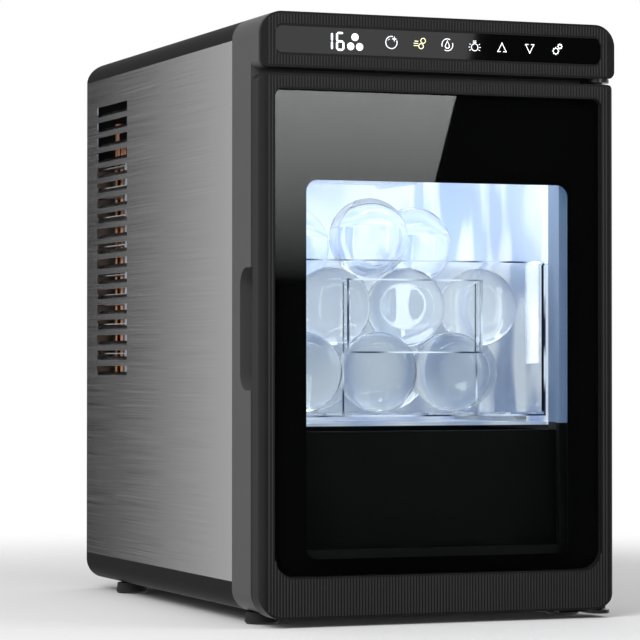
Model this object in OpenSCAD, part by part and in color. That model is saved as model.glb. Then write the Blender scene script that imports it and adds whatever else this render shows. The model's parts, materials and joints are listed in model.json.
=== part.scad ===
// Countertop ice sphere machine: a cabinet with a hinged glass door, a lit ice bay with
// a pull-out basket, a tilting sphere mould, a water circuit and a refrigeration circuit.
// Millimetres. The origin is on the floor under the middle of the cabinet.
// +X is to the right of someone facing the door, +Y runs to the back, +Z is up.

/* [Cabinet] */
// Width of the cabinet
body_w = 260; // [256:1:290]
// Depth of the cabinet with its door
body_d = 394; // [390:1:430]
// Height of the cabinet with its feet
body_h = 408; // [404:1:430]
// Gap between the floor and the cabinet's underside
foot_h = 8; // [7:0.5:12]
// Diameter of a rubber foot
foot_dia = 24; // [16:1:34]
// Wall of the moulded covers
wall = 3; // [2:0.5:4]
// Thickness of the steel side panels
sheet = 1; // [0.8:0.1:1.5]
// Height of the band of the base pan below the side panels
base_band = 20; // [16:1:26]
// Height of the band of the top cover above the side panels
cover_band = 15; // [15:1:20]
// Radius of the cabinet's long edges
edge_r = 15; // [8:1:15]

/* [Front] */
// Height of the control head above the door
head_h = 37; // [32:1:44]
// Gap between the head and the door
head_gap = 4; // [3:0.5:6]
// Depth of the front frame behind the door
frame_d = 37; // [32:1:44]
// Width of the plain band beside the mouth of the frame
frame_band = 24; // [20:1:28]
// Height of the touch strip
strip_h = 18; // [14:1:22]
// Margin of the ribbed border beside the touch strip
strip_margin = 10.5; // [8:0.5:14]
// Height of the finger recess
recess_h = 82; // [60:1:110]
// Depth of the finger recess behind the door
recess_d = 21; // [16:1:26]
// Height of the middle of the finger recess
recess_z = 198; // [160:1:230]

/* [Door] */
// Thickness of the door
door_t = 18; // [17:0.5:22]
// Gap between the door and the frame
door_gap = 1.2; // [1:0.1:2]
// Height of the door's lower edge above the floor
door_lift = 6; // [6:0.5:7]
// Width of the ribbed border at each side of the glass
glass_side = 10.5; // [8:0.5:14]
// Height of the ribbed border above the glass
glass_top = 10.6; // [8:0.2:14]
// Height of the ribbed border below the glass
glass_foot = 28; // [22:1:34]
// Thickness of the front glass
glass_t = 4; // [3:0.5:5]
// Width of the clear window in the glass
window_w = 192; // [170:1:200]
// Height of the window's top above the floor
window_top = 297; // [270:1:310]
// Height of the clear zone's lower edge above the floor
window_foot = 45; // [42:1:60]
// Distance of the hinge axis from the door's right side and rear face
hinge_inset = 9; // [8:0.5:10]
// Radius of the hinge pins
hinge_r = 3; // [2.5:0.25:3.5]

/* [Ice bay] */
// Height of the ice bay's floor
bay_floor = 134; // [128:1:140]
// Depth of the basket
basket_d = 112; // [112:1:116]
// Height of the basket
basket_h = 108; // [90:1:112]
// Wall of the basket
basket_wall = 2.5; // [2:0.25:3]
// Diameter of an ice sphere
ice_dia = 56; // [50:0.5:56]

/* [Sphere mould] */
// Inner diameter of a mould cup
cup_dia = 56; // [48:1:57]
// Wall of a mould cup
cup_wall = 2.5; // [1.5:0.25:2.5]
// Distance between neighbouring cups
cup_pitch = 62; // [62:0.5:63]
// Height of the plane where the two mould halves meet
mould_z = 346; // [342:1:347]
// Radius of the tray's pivot shaft
shaft_r = 4; // [3:0.25:5]

/* [Cooling unit] */
// Radius of the compressor's pot
pot_r = 50; // [42:1:54]
// Height of the compressor's pot
pot_h = 116; // [90:1:130]
// Radius of the fan's blades
fan_r = 32; // [26:1:33]
// Number of fan blades
fan_blades = 7; // [5:1:9]
// Number of condenser fins
fin_count = 24; // [16:1:28]
// Number of louvres in a side panel
louvre_count = 18; // [12:1:18]
// Distance between neighbouring louvres
louvre_pitch = 11.7; // [10:0.1:12]
// Height of a louvre
louvre_h = 8; // [6:0.5:8.5]
// Length of a louvre
louvre_l = 76; // [60:1:80]

/* [Hidden] */
$fn = 64;
eps = 0.01;
fit = 0.3;          // clearance between pieces that slide or turn
run = 0.05;         // radial clearance of a shaft in its bush
y_front = -body_d / 2;
y_rear = body_d / 2;
side_x = body_w / 2;
door_y1 = y_front + door_t;
frame_y0 = door_y1 + door_gap;
frame_y1 = frame_y0 + frame_d;
head_z = body_h - head_h;
door_top = head_z - head_gap;
door_h = door_top - door_lift;
base_top = foot_h + base_band;
cover_z = body_h - cover_band;
rear_t = 3;
rear_inset = 2;     // the rear panel lies this far inside the cabinet's rear edge
rear_y1 = y_rear - rear_inset;
rear_y0 = rear_y1 - rear_t;
pan_floor = foot_h + wall;

mouth_x = side_x - frame_band;
mouth_z0 = 40;
mouth_z1 = 352;
head_corner = edge_r;
head_corner_low = 5;
frame_corner = edge_r;
door_corner_top = 6;
door_corner_low = 16;
fascia_t = 4;
strip_t = 1.6;
strip_w = body_w - 2 * strip_margin;
strip_z = head_z + (head_h - strip_h) / 2;
strip_corner = 5;
board_t = 1.6;

glass_w = body_w - 2 * glass_side;
glass_z0 = door_lift + glass_foot;
glass_z1 = door_top - glass_top;
glass_back = 0.8;   // the glass lies this far behind the door's border
glass_y0 = y_front + glass_back;
mask_t = 0.4;
mask_y0 = glass_y0 + glass_t;
door_hole_x = mouth_x - 4;
door_hole_z0 = mouth_z0 + 4;
door_hole_z1 = mouth_z1 - 6;
pane_t = 3;
pane_lap = 4;
liner_t = 5;
liner_lap = 6;
gasket_t = door_gap - fit;
hinge_x = side_x - hinge_inset;
hinge_y = door_y1 - hinge_inset;
bush_r = hinge_r + 2.5;
bush_h = 10;
bracket_t = 2.5;
bracket_w = 2 * hinge_inset - 2;

liner_wall = 2;
bay_x = mouth_x;
bay_y1 = -29;
bay_step = 250;
mould_y1 = 106;
bay_top = 388;
basket_x = bay_x - 3;
basket_y0 = bay_y1 - 2 - basket_d;
runner_h = 4;
basket_z0 = bay_floor + runner_h + fit;
basket_free = 16;   // free travel of the basket behind the closed door

ice_r = ice_dia / 2;
ice_gap = 0.25;
ice_step = ice_dia + ice_gap;
ice_floor = basket_z0 + basket_wall + ice_r + ice_gap;
ice_slack = 0.4;    // play of the two floor rows in the basket
ice_front = basket_y0 + basket_wall + ice_r + ice_gap + ice_slack;
ice_row = basket_d - 2 * basket_wall - ice_dia - 2 * ice_gap - ice_slack;
ice_lean = 0.34 * ice_row;
ice_mid = 15.5;
ice_layer = sqrt(0.75 * ice_step * ice_step - ice_lean * ice_lean);

cup_r = cup_dia / 2;
cup_out = cup_r + cup_wall;
mould_x = 3 * cup_pitch / 2 + 1;
tray_plate = 5;
plate_t = 4;
tube_r = 3;
tube_x = cup_pitch / 2;
tube_z = mould_z + sqrt(pow(cup_out, 2) - pow(tube_x - tube_r - fit, 2));
tube_end = mould_y1 + 10;
plate_gap = 0.6;
shaft_y = mould_y1 - 12;
mould_mid = shaft_y - 8 - cup_pitch;
tray_top = mould_z - plate_gap / 2;
shaft_z = tray_top - tray_plate / 2;
tilt_motor_w = 16;

tank_wall = 2.5;
tank_x = bay_x - 2;
tank_y0 = door_y1 + 12;
tank_y1 = bay_y1 - 5;
tank_z0 = 42;
tank_z1 = bay_floor - liner_wall - 3;

pump_x = -60;
pump_y = 6;
pump_r = 24;
pump_z = 24;
pump_h = 34;
pump_port_z = 50;
port_r = 5;
impeller_r = 16;
hose_r = 5;
elbow_drop = 18;
hose_x = -(bay_x + liner_wall + hose_r + 2.5);

pot_x = 50;
pot_y = 118;
grommet_h = 9;
pot_foot_t = 3;
pot_z0 = pan_floor + grommet_h + pot_foot_t;

fan_y = 152;
fan_z = 246;
coil_x0 = -(side_x - sheet - 4);
coil_t = 26;
coil_d = 76;
coil_z0 = 160;
coil_h = 172;
shroud_x0 = coil_x0 + coil_t + 3;
shroud_t = 2;
duct_r = fan_r + 2;
duct_l = 24;
duct_wall = 3;
hub_t = 3;
hub_end = shroud_x0 + duct_l - 1;
motor_r = 15;
spindle_r = 2;
louvre_y0 = 94;
louvre_z0 = 165;

black = [0.06, 0.06, 0.065];
grey = [0.17, 0.17, 0.175];
steel = [0.62, 0.63, 0.64];
white = [0.93, 0.95, 0.98];
clear = [0.75, 0.86, 0.95, 0.5];
copper = [0.72, 0.42, 0.26];

// A rounded rectangle with its lower edge at y = 0, with one radius for the two
// upper corners and another for the two lower ones.
module panel2d(w, h, r_top, r_low) {
  polygon([[-w / 2 + r_low, 0], [w / 2 - r_low, 0], [w / 2, r_low], [w / 2, h - r_top],
           [w / 2 - r_top, h], [-w / 2 + r_top, h], [-w / 2, h - r_top], [-w / 2, r_low]]);
  for (s = [-1, 1]) {
    translate([s * (w / 2 - r_top), h - r_top]) circle(r_top);
    translate([s * (w / 2 - r_low), r_low]) circle(r_low);
  }
}

// Extrudes a front view, drawn in x and z, from y0 back by t.
module front_plate(y0, t) {
  translate([0, y0 + t, 0]) rotate([90, 0, 0]) linear_extrude(t) children();
}

// Extrudes a side view, drawn in y and z, from x0 to the right by t.
module side_plate(x0, t) {
  translate([x0, 0, 0]) rotate([90, 0, 90]) linear_extrude(t) children();
}

// A box given by its lowest and highest corners.
module block(low, high) {
  translate(low) cube(high - low);
}

// A cylinder along X that starts at x0.
module rod_x(x0, l, r, y, z) {
  translate([x0, y, z]) rotate([0, 90, 0]) cylinder(h = l, r = r);
}

// A cylinder along Y that starts at y0.
module rod_y(y0, l, r, x, z) {
  translate([x, y0, z]) rotate([-90, 0, 0]) cylinder(h = l, r = r);
}

// A round pipe through a list of points, with a knuckle at every bend.
module pipe(points, r) {
  for (i = [0 : len(points) - 2]) {
    a = points[i];
    d = points[i + 1] - a;
    l = norm(d);
    translate(a) rotate([0, acos(d[2] / l), atan2(d[1], d[0])]) cylinder(h = l, r = r);
    if (i > 0) translate(a) sphere(r * 1.06);
  }
}

// Cabinet

// The outline of the cabinet seen from the front, from z0 to the top or the floor edge.
module cabinet2d(inset) {
  translate([0, foot_h + inset])
    panel2d(body_w - 2 * inset, body_h - foot_h - 2 * inset, edge_r - inset / 2, edge_r - inset / 2);
}

module base_pan() {
  color(grey) difference() {
    intersection() {
      front_plate(frame_y1, y_rear - frame_y1) cabinet2d(0);
      block([-side_x, frame_y1, foot_h], [side_x, y_rear, base_top]);
    }
    intersection() {
      front_plate(frame_y1 + wall, y_rear - frame_y1 - 2 * wall) cabinet2d(wall);
      block([-side_x, frame_y1, pan_floor], [side_x, y_rear, base_top + 1]);
    }
    drain_hole();
  }
  color(grey) {
    tank_posts();
    pump_boss();
  }
}

drain_x = 39;
drain_y = frame_y1 + 14;
drain_r = 6;
module drain_hole() {
  translate([drain_x, drain_y, foot_h - 1]) cylinder(h = wall + 2, r = drain_r);
}

module tank_posts() {
  for (x = [-tank_x + 20, tank_x - 20], y = [frame_y1 + 12, tank_y1 - 12])
    translate([x, y, pan_floor - eps]) cylinder(h = tank_z0 - pan_floor + eps, r = 7);
}

module pump_boss() {
  translate([pump_x, pump_y, pan_floor - eps]) cylinder(h = pump_z - pan_floor + eps, r = pump_r - 6);
}

module rubber_feet() {
  foot_inset_x = 18;
  color(black) for (x = [-side_x + foot_inset_x, side_x - foot_inset_x], y = [y_front + 46, y_rear - 60])
    translate([x, y, 0]) rotate_extrude()
      polygon([[0, 0], [foot_dia / 2 - 1.5, 0], [foot_dia / 2, 1.5], [foot_dia / 2 - 1, foot_h],
               [0, foot_h]]);
}

module frame2d() {
  translate([0, foot_h]) panel2d(body_w, body_h - foot_h, head_corner, frame_corner);
}

module head2d() {
  translate([0, head_z]) panel2d(body_w, head_h, head_corner, head_corner_low);
}

module mouth2d(grow) {
  translate([0, mouth_z0 - grow])
    panel2d(2 * (mouth_x + grow), mouth_z1 - mouth_z0 + 2 * grow, 6 + grow, 6 + grow);
}

// The finger recess is a pocket in the left edge of the frame, behind the door.
module recess_block(grow) {
  deep = 13 + grow;
  low = recess_z - recess_h / 2 - grow;
  intersection() {
    side_plate(-side_x - 1, deep + 1) {
      translate([frame_y0 - 1, low]) square([recess_d - 12 + grow + 1, recess_h + 2 * grow]);
      translate([frame_y0 - 1, low + 12]) square([recess_d + grow + 1, recess_h - 24 + 2 * grow]);
      for (z = [low + 12, low + recess_h + 2 * grow - 12])
        translate([frame_y0 + recess_d - 12 + grow, z]) circle(12);
    }
    block([-side_x, frame_y0, low], [-side_x + deep, frame_y1, low + recess_h + 2 * grow]);
  }
}

module front_frame() {
  back = frame_y0 + wall;
  color(grey) difference() {
    union() {
      difference() {
        union() {
          front_plate(frame_y0, frame_d) frame2d();
          front_plate(y_front + fascia_t, frame_y0 - y_front - fascia_t + eps) head2d();
        }
        front_plate(back, frame_d) difference() {
          translate([0, foot_h + wall])
            panel2d(body_w - 2 * wall, body_h - foot_h - 2 * wall, head_corner - wall, frame_corner - wall);
          mouth2d(wall);
        }
        front_plate(frame_y0 - 1, frame_d + 2) mouth2d(0);
      }
      intersection() {
        recess_block(wall);
        front_plate(frame_y0, frame_d) frame2d();
      }
    }
    recess_block(0);
    front_plate(y_front + fascia_t - 1, back - y_front - fascia_t + 2)
      translate([0, head_z + wall]) panel2d(strip_w, head_h - 2 * wall, 6, 3);
  }
}

module top_cover() {
  color(grey) difference() {
    intersection() {
      front_plate(frame_y1, y_rear - frame_y1) cabinet2d(0);
      side_plate(-side_x, body_w) rear_round2d(0);
      block([-side_x, frame_y1, cover_z], [side_x, y_rear, body_h]);
    }
    intersection() {
      front_plate(frame_y1 - 1, y_rear - frame_y1 + 1 - wall) cabinet2d(wall);
      side_plate(-side_x, body_w) rear_round2d(wall);
      block([-side_x, frame_y1 - 1, cover_z - 1], [side_x, y_rear, body_h]);
    }
  }
}

// The side view of the cabinet, round at its upper rear corner.
module rear_round2d(inset) {
  r = edge_r - inset / 2;
  top = body_h - inset;
  end = y_rear - inset;
  translate([y_front, foot_h]) square([end - y_front - r, top - foot_h]);
  translate([y_front, foot_h]) square([end - y_front, top - foot_h - r]);
  translate([end - r, top - r]) circle(r);
}

// A louvred panel, drawn for the left side. Each louvre is a slot with a vane that
// slopes inwards from its lower edge.
module louvred_panel() {
  vane_in = 5;
  slit = louvre_h * 0.55;
  difference() {
    block([-side_x, frame_y1, base_top], [-side_x + sheet, y_rear, cover_z]);
    for (i = [0 : louvre_count - 1])
      translate([-side_x - 1, louvre_y0, louvre_z0 + i * louvre_pitch])
        cube([sheet + 2, louvre_l, louvre_h]);
  }
  for (i = [0 : louvre_count - 1])
    translate([0, louvre_y0 + louvre_l, louvre_z0 + i * louvre_pitch])
      rotate([90, 0, 0]) linear_extrude(louvre_l)
        polygon([[-side_x + eps, -sheet], [-side_x + sheet, -sheet], [-side_x + vane_in, louvre_h - slit],
                 [-side_x + vane_in - sheet, louvre_h - slit], [-side_x + eps, 0.2]]);
}

module left_side_panel() {
  color(steel) louvred_panel();
}

module right_side_panel() {
  color(steel) mirror([1, 0, 0]) louvred_panel();
}

inlet_x = -70;
inlet_z = 62;
inlet_w = 28;
inlet_h = 21;
rear_screw_inset = 12;
rear_screw_r = 2;
screw_end = 1.5;
function rear_screw_points() = [
  for (s = [-1, 1], z = [base_top + rear_screw_inset, (base_top + cover_z) / 2, cover_z - rear_screw_inset])
    [s * (side_x - sheet - rear_screw_inset), z]
];

module rear_panel() {
  slot_count = 16;
  slot_pitch = 9;
  slot_w = 60;
  slot_h = 4;
  slot_x = 40;
  slot_z = 190;
  color(black) difference() {
    block([-side_x + sheet, rear_y0, base_top], [side_x - sheet, rear_y1, cover_z]);
    for (i = [0 : slot_count - 1], s = [-1, 1])
      translate([s * slot_x - slot_w / 2, rear_y0 - 1, slot_z + i * slot_pitch])
        cube([slot_w, rear_t + 2, slot_h]);
    translate([inlet_x - inlet_w / 2, rear_y0 - 1, inlet_z - inlet_h / 2])
      cube([inlet_w, rear_t + 2, inlet_h]);
    for (p = rear_screw_points()) rod_y(rear_y0 - 1, rear_t + 2, rear_screw_r, p[0], p[1]);
  }
}

module case_screws() {
  color(steel) for (p = rear_screw_points()) {
    rod_y(rear_y0 - screw_end, rear_t + screw_end + eps, rear_screw_r - run, p[0], p[1]);
    rod_y(rear_y1, rear_inset * 0.8, rear_screw_r * 1.9, p[0], p[1]);
  }
}

module power_inlet() {
  depth = 24;
  color(black) difference() {
    union() {
      block([inlet_x - inlet_w / 2 + run, rear_y1 - depth, inlet_z - inlet_h / 2 + run],
            [inlet_x + inlet_w / 2 - run, rear_y1 + eps, inlet_z + inlet_h / 2 - run]);
      block([inlet_x - inlet_w / 2 - 4, rear_y1, inlet_z - inlet_h / 2 - 4],
            [inlet_x + inlet_w / 2 + 4, y_rear, inlet_z + inlet_h / 2 + 4]);
    }
    block([inlet_x - inlet_w / 2 + 3, rear_y1 - depth + 4, inlet_z - inlet_h / 2 + 3],
          [inlet_x + inlet_w / 2 - 3, y_rear + 1, inlet_z + inlet_h / 2 - 3]);
  }
  color(steel) for (x = [-7, 0, 7])
    block([inlet_x + x - 1, rear_y1 - depth + 4 - eps, inlet_z - 3], [inlet_x + x + 1, y_rear - 6, inlet_z + 3]);
}

// The plug pulls down out of the hole in the base pan.
module drain_plug() {
  head_t = 4;
  color(black) translate([drain_x, drain_y, 0]) {
    translate([0, 0, foot_h - head_t]) cylinder(h = head_t, r = drain_r + 4);
    translate([0, 0, foot_h - eps]) cylinder(h = wall + 1, r = drain_r - run);
  }
}

// Controls

module control_fascia() {
  color(black) difference() {
    front_plate(y_front, fascia_t) head2d();
    front_plate(y_front - 1, strip_t + glass_back + 1)
      translate([0, strip_z]) panel2d(strip_w, strip_h, strip_corner, strip_corner);
    front_plate(y_front - 1, fascia_t + 2)
      translate([0, strip_z + 4]) panel2d(strip_w - 20, strip_h - 8, 2, 2);
  }
}

module touch_strip() {
  color(black) front_plate(y_front + glass_back, strip_t)
    translate([0, strip_z + fit / 2])
      panel2d(strip_w - fit, strip_h - fit, strip_corner - fit / 2, strip_corner - fit / 2);
}

module control_board() {
  color("darkgreen") block([-strip_w / 2 + 16, y_front + glass_back + strip_t, strip_z + 4 + fit],
                           [strip_w / 2 - 16, y_front + glass_back + strip_t + board_t, strip_z + strip_h - 4 - fit]);
}

// Door

// The door seen from above: round edges, widest at the hinge side.
module door_plan2d() {
  r_front = 6;
  r_left = 3;
  x0 = -side_x;
  x1 = side_x;
  polygon([[x0 + r_front, y_front], [x1 - r_front, y_front], [x1, y_front + r_front],
           [x1, door_y1 - hinge_inset], [x1 - hinge_inset, door_y1], [x0 + r_left, door_y1],
           [x0, door_y1 - r_left], [x0, y_front + r_front]]);
  translate([x0 + r_front, y_front + r_front]) circle(r_front);
  translate([x1 - r_front, y_front + r_front]) circle(r_front);
  translate([hinge_x, hinge_y]) circle(hinge_inset);
  translate([x0 + r_left, door_y1 - r_left]) circle(r_left);
}

module glass2d(grow) {
  translate([0, glass_z0 - grow])
    panel2d(glass_w + 2 * grow, glass_z1 - glass_z0 + 2 * grow, 5 + grow, 14 + grow);
}

module door_hole2d(grow) {
  translate([0, door_hole_z0 - grow])
    panel2d(2 * (door_hole_x + grow), door_hole_z1 - door_hole_z0 + 2 * grow, 6 + grow, 6 + grow);
}

module door_frame() {
  color(grey) difference() {
    intersection() {
      front_plate(y_front, door_t)
        translate([0, door_lift]) panel2d(body_w, door_h, door_corner_top, door_corner_low);
      translate([0, 0, door_lift - 1]) linear_extrude(door_h + 2) door_plan2d();
    }
    front_plate(y_front - 1, glass_back + glass_t + mask_t + 1) glass2d(fit);
    front_plate(y_front, door_t + 1) door_hole2d(0);
    front_plate(door_y1 - pane_t - run, pane_t + 1) door_hole2d(pane_lap + run);
    for (z = [door_lift - eps, door_top - bush_h])
      translate([hinge_x, hinge_y, z]) cylinder(h = bush_h + eps, r = bush_r);
  }
}

module door_glass() {
  color(clear) front_plate(glass_y0, glass_t) glass2d(0);
}

// The black print behind the glass, open at the clear zone.
module glass_mask() {
  color(black) front_plate(mask_y0, mask_t) difference() {
    glass2d(0);
    translate([0, window_foot]) panel2d(window_w, window_top - window_foot, 8, 8);
  }
}

module inner_pane() {
  color(clear) front_plate(door_y1 - pane_t, pane_t) door_hole2d(pane_lap);
}

module door_liner() {
  color(black) front_plate(door_y1, liner_t) difference() {
    door_hole2d(0);
    door_hole2d(-liner_lap);
  }
}

module door_gasket() {
  band = 5;
  color(black) front_plate(door_y1, gasket_t) difference() {
    door_hole2d(4 + 5.5 + band);
    door_hole2d(4 + 5.5);
  }
}

module hinge_bushes() {
  color(white) for (z = [door_lift, door_top - bush_h])
    translate([hinge_x, hinge_y, z]) difference() {
      cylinder(h = bush_h, r = bush_r - run);
      translate([0, 0, -1]) cylinder(h = bush_h + 2, r = hinge_r + run);
    }
}

// The plate of a hinge bracket, from the pin back to y1.
module bracket_plate(z, y1) {
  translate([hinge_x, hinge_y, z]) cylinder(h = bracket_t, r = bracket_w / 2);
  block([hinge_x - bracket_w / 2, hinge_y, z], [hinge_x + bracket_w / 2, y1, z + bracket_t]);
}

module upper_hinge_bracket() {
  z = head_z - bracket_t;
  color(steel) {
    bracket_plate(z, frame_y0);
    translate([hinge_x, hinge_y, door_top - bush_h]) cylinder(h = z + bracket_t - door_top + bush_h, r = hinge_r);
  }
}

module lower_hinge_bracket() {
  top = door_lift - 0.5;
  z = top - bracket_t;
  end = frame_y0 + 10;
  seat = 16;
  x0 = hinge_x - bracket_w / 2;
  color(steel) {
    bracket_plate(z, end);
    block([x0 - seat, frame_y0 + 1, z], [x0 + eps, end, top]);
    block([x0 - seat, frame_y0 + 1, top - eps], [hinge_x, end, foot_h]);
    translate([hinge_x, hinge_y, z]) cylinder(h = top - z + bush_h, r = hinge_r);
  }
}

// Ice bay

// The side view of the space inside the bay: the basket's bay in front, and the
// mould's bay above it and behind it.
module bay2d(grow) {
  translate([frame_y1, bay_floor - grow]) square([bay_y1 - frame_y1 + grow, mouth_z1 - bay_floor + 2 * grow]);
  translate([frame_y1 + liner_wall - grow, bay_step - grow])
    square([mould_y1 - frame_y1 - liner_wall + 2 * grow, bay_top - bay_step + 2 * grow]);
}

module ice_bay_liner() {
  color(white) difference() {
    side_plate(-bay_x - liner_wall, 2 * (bay_x + liner_wall)) bay2d(liner_wall);
    side_plate(-bay_x, 2 * bay_x) bay2d(0);
    block([-bay_x, frame_y1 - 1, bay_floor], [bay_x, frame_y1 + 1, mouth_z1]);
    rod_x(-bay_x - 10, 2 * bay_x + 20, shaft_r + run, shaft_y, shaft_z);
    for (x = [-tube_x, tube_x]) rod_y(mould_y1 - 1, liner_wall + 2, tube_r + fit, x, tube_z);
  }
}

lamp_w = 130;
lamp_y = frame_y1 + 14;
lamp_z = bay_top - 26;
module lamp_housing() {
  color(white) difference() {
    block([-lamp_w / 2, lamp_y - 8, lamp_z], [lamp_w / 2, lamp_y + 8, bay_top]);
    block([-lamp_w / 2 + 2, lamp_y - 6, lamp_z - 1], [lamp_w / 2 - 2, lamp_y + 6, lamp_z + 8]);
  }
}

module lamp_lens() {
  color(clear) block([-lamp_w / 2 + 2 + run, lamp_y - 6 + run, lamp_z],
                     [lamp_w / 2 - 2 - run, lamp_y + 6 - run, lamp_z + 3]);
}

module basket_runners() {
  color(white) for (s = [-1, 1])
    block([s * (bay_x - 20) - 4, frame_y1 + 2, bay_floor], [s * (bay_x - 20) + 4, bay_y1 - 2, bay_floor + runner_h]);
}

// An open bin with a rim, a recessed pull in its front wall and a ribbed floor.
module ice_basket() {
  x = basket_x;
  y1 = basket_y0 + basket_d;
  top = basket_z0 + basket_h;
  pull_w = 96;
  pull_h = 46;
  pull_z = top - 16 - pull_h;
  pull_in = 9;
  rim = 4;
  w = basket_wall;
  color(clear) {
    difference() {
      union() {
        block([-x, basket_y0, basket_z0], [x, y1, top]);
        block([-x, basket_y0 - rim, top - w], [x, y1, top]);
      }
      block([-x + w, basket_y0 + w, basket_z0 + w], [x - w, y1 - w, top + 1]);
      for (i = [-4 : 4])
        translate([i * 20 - 2, basket_y0 + 20, basket_z0 - 1]) cube([4, basket_d - 40, w + 2]);
    }
    difference() {
      block([-pull_w / 2 - w, basket_y0 - pull_in, pull_z - w], [pull_w / 2 + w, basket_y0 + eps, pull_z + pull_h + w]);
      block([-pull_w / 2, basket_y0 - pull_in + w, pull_z - 2 * w], [pull_w / 2, basket_y0 + eps * 2, pull_z + pull_h]);
    }
  }
}

// Ice spheres, as they lie in the basket: two rows on the floor, three in the
// hollows of the front row, and three more on those.
function ice_points() = [
  for (i = [-1.5 : 1 : 0.5]) [ice_mid + i * ice_step, ice_front, ice_floor],
  for (i = [-1 : 1]) [ice_mid + i * ice_step, ice_front + ice_row, ice_floor],
  for (i = [-1 : 1]) [ice_mid + i * ice_step, ice_front + ice_lean, ice_floor + ice_layer],
  [ice_mid - ice_step * 0.5, ice_front + ice_row * 0.3, ice_floor + ice_layer + ice_step * 0.865],
  [ice_mid + ice_step * 0.33, ice_front + ice_row * 0.92, ice_floor + ice_layer + ice_step * 0.79],
  [ice_mid - ice_step * 1.32, ice_front + ice_row * 0.96, ice_floor + ice_layer + ice_step * 0.77]
];

module ice_spheres() {
  color(clear) for (p = ice_points()) translate(p) sphere(ice_r);
}

module water_tank() {
  color([0.1, 0.1, 0.11]) difference() {
    block([-tank_x, tank_y0, tank_z0], [tank_x, tank_y1, tank_z1]);
    block([-tank_x + tank_wall, tank_y0 + tank_wall, tank_z0 + tank_wall],
          [tank_x - tank_wall, tank_y1 - tank_wall, tank_z1 + 1]);
    rod_y(tank_y1 - tank_wall - 1, tank_wall + 2, port_r + fit, pump_x, pump_port_z);
  }
}

// Sphere mould

cup_points = [for (i = [-1 : 1], j = [-0.5, 0.5]) [i * cup_pitch, mould_mid + j * cup_pitch]];

module evaporator() {
  low = mould_z + plate_gap / 2;
  post_r = 4;
  color([0.78, 0.79, 0.8]) difference() {
    union() {
      block([-mould_x, mould_mid - cup_pitch - 1, low], [mould_x, mould_mid + cup_pitch - 6, low + plate_t]);
      intersection() {
        for (p = cup_points) translate([p[0], p[1], mould_z]) sphere(cup_out);
        block([-mould_x, mould_mid - cup_pitch - 1, low + 1], [mould_x, mould_mid + cup_pitch, mould_z + cup_out]);
      }
      for (x = [-1, 1], y = [mould_mid - cup_pitch + 4, mould_mid + cup_pitch - 12])
        translate([x * (mould_x - post_r - 1), y, low + 1]) cylinder(h = bay_top - low - 1, r = post_r);
    }
    for (p = cup_points) translate([p[0], p[1], mould_z]) sphere(cup_r);
  }
}

// The refrigerant line lies in the valleys between the domes.
module evaporator_tube() {
  y0 = mould_mid - cup_pitch;
  color(copper) pipe([[tube_x, tube_end, tube_z], [tube_x, y0, tube_z], [-tube_x, y0, tube_z],
                      [-tube_x, tube_end, tube_z]], tube_r);
}

// The lower half of the mould tilts down at the front to drop the spheres.
module mould_tray() {
  low = tray_top - tray_plate;
  arm_w = 8;
  color([0.85, 0.87, 0.9]) difference() {
    union() {
      block([-mould_x, mould_mid - cup_pitch - 1, low], [mould_x, mould_mid + cup_pitch - 6, tray_top]);
      intersection() {
        for (p = cup_points) translate([p[0], p[1], mould_z]) sphere(cup_out);
        block([-mould_x, mould_mid - cup_pitch - 1, mould_z - cup_out], [mould_x, mould_mid + cup_pitch, low + 1]);
      }
      for (x = [-mould_x + arm_w, mould_x - arm_w])
        block([x - arm_w / 2, mould_mid + cup_pitch - 7, low], [x + arm_w / 2, shaft_y, tray_top]);
      for (x = [-mould_x + arm_w / 2, mould_x - arm_w * 1.5])
        rod_x(x, arm_w, shaft_r + 3, shaft_y, shaft_z);
    }
    for (p = cup_points) {
      translate([p[0], p[1], mould_z]) sphere(cup_r);
      translate([p[0], p[1], mould_z - cup_out - 1]) cylinder(h = cup_wall + 3, r = 3);
    }
    rod_x(-mould_x - 1, 2 * mould_x + 2, shaft_r, shaft_y, shaft_z);
  }
}

module tray_shaft() {
  color(steel) difference() {
    rod_x(-bay_x - liner_wall - 8, 2 * bay_x + 2 * liner_wall + 16, shaft_r, shaft_y, shaft_z);
    rod_x(-bay_x - liner_wall - 9, bay_x + liner_wall + 9, shaft_r / 2, shaft_y, shaft_z);
  }
}

// The spray pipes hang under the cups and move with the tray.
module spray_manifold() {
  r = 4;
  z = mould_z - cup_out - r - 0.2;
  y0 = mould_mid - cup_pitch / 2;
  y1 = mould_mid + cup_pitch / 2;
  color(white) {
    for (x = [-1 : 1]) {
      rod_y(y0 - 8, y1 - y0 + 16, r, x * cup_pitch, z);
      for (y = [y0, y1]) translate([x * cup_pitch, y, z]) cylinder(h = r + 2, r = 2.5);
    }
    rod_x(-cup_pitch - r, 2 * cup_pitch + 2 * r, r - 0.5, mould_mid, z);
  }
}

module tilt_motor() {
  x0 = bay_x + liner_wall;
  color([0.2, 0.2, 0.22]) difference() {
    union() {
      block([x0, shaft_y - 22, shaft_z - 22], [x0 + tilt_motor_w - 4, shaft_y + 14, shaft_z + 14]);
      rod_x(x0 + tilt_motor_w - 5, 5, 12, shaft_y - 6, shaft_z - 6);
    }
    rod_x(x0 - 1, 10, shaft_r + run, shaft_y, shaft_z);
  }
}

module water_inlet_elbow() {
  x1 = -bay_x - liner_wall;
  color(white) difference() {
    union() {
      rod_x(x1 - 11, 11, shaft_r + 3, shaft_y, shaft_z);
      translate([hose_x, shaft_y, shaft_z - elbow_drop]) cylinder(h = elbow_drop, r = hose_r - 1.5);
    }
    rod_x(x1 - 9, 10, shaft_r + run, shaft_y, shaft_z);
  }
}

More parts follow.
